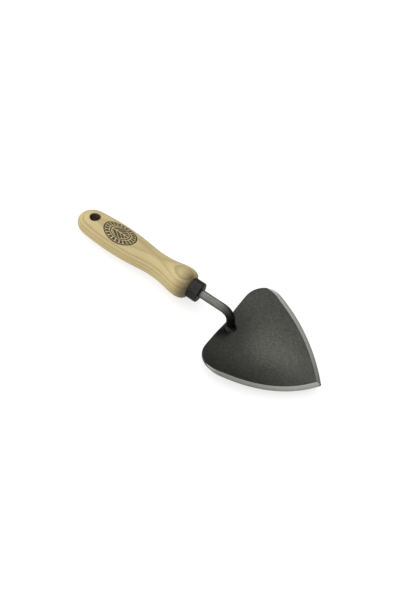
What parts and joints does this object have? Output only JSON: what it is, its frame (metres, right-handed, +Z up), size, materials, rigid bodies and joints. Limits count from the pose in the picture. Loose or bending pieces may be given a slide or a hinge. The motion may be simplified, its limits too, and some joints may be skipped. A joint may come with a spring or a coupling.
{
  "type": "hand trowel",
  "caption": "Hand trowel with a dished, shield-shaped steel blade, bent round shank, black ferrule and waisted wooden handle with a hanging hole, for planting and potting.",
  "frame": {"origin": "middle of the footprint on the surface that the trowel lies on", "axes": "+X from the butt towards the blade's point, +Y across the blade, +Z up from the surface that the trowel lies on"},
  "size_m": [0.2946, 0.1206, 0.0325],
  "materials": {
    "handle_wood": "pale ash, sanded and lightly oiled, with a burnt oval mark",
    "ferrule_black": "satin black over steel",
    "shank_steel": "drawn round bar, satin, darker at the bend",
    "weld_steel": "dark weld metal",
    "blade_steel": "dark forged scale, with a bright ground bevel on both long sides"
  },
  "bodies": {
    "root": {"handle": "handle_wood", "ferrule": "ferrule_black", "shank": "shank_steel", "weld_bead": "weld_steel", "blade": "blade_steel"}
  },
  "joints": []
}
